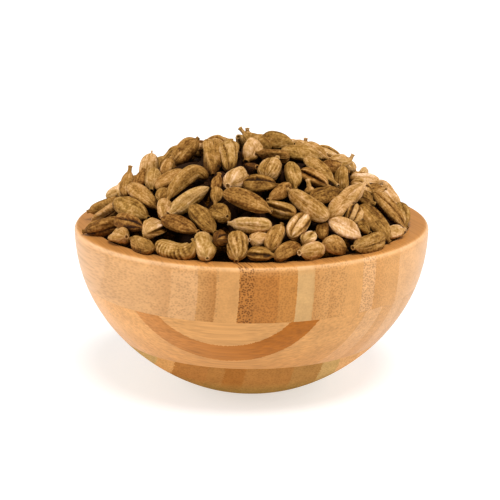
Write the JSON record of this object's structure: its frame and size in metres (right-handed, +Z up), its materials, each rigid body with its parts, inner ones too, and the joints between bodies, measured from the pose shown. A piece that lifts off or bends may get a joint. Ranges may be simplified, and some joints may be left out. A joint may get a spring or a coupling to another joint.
{
  "type": "bowl of roasted cardamom pods",
  "caption": "Round-bottomed turned bamboo bowl, heaped above its rim with whole roasted cardamom pods; it rests on a small flat foot.",
  "frame": {"origin": "middle of the bowl's flat foot, on the table", "axes": "+Z up through the middle of the bowl and the heap; -Y is the side the picture shows, +X to its right"},
  "size_m": [0.14, 0.14, 0.1007],
  "materials": {
    "bamboo": "laminated bamboo, turned and satin lacquered",
    "pods": "dry roasted husk, matt, finely ribbed"
  },
  "bodies": {
    "root": {"bowl": "bamboo", "cardamom_pods": "pods"}
  },
  "joints": []
}
